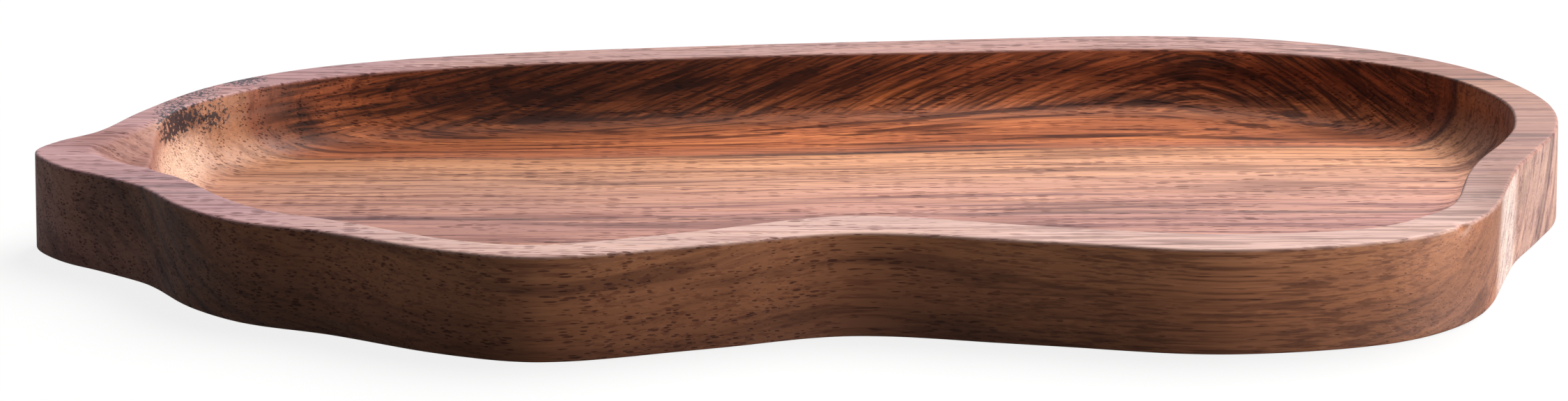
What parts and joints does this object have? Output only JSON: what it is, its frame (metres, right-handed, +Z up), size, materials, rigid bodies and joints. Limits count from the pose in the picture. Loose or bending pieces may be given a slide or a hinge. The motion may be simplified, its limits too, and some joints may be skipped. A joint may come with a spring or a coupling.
{
  "type": "wooden serving platter",
  "caption": "Free-form serving platter carved from one hardwood board, with a pointed end, a flat rim, a scooped basin and a flat base.",
  "frame": {"origin": "under the middle of the board, on the surface that it stands on", "axes": "+X along the board from its pointed end to its round end, +Y from its wavy front side to its plain back side, +Z up out of the basin"},
  "size_m": [0.307, 0.145, 0.02],
  "materials": {
    "oiled_wood": "oiled hardwood, satin, with brown and purple-brown growth rings and fine dark pores"
  },
  "bodies": {
    "root": {"platter_board": "oiled_wood"}
  },
  "joints": []
}
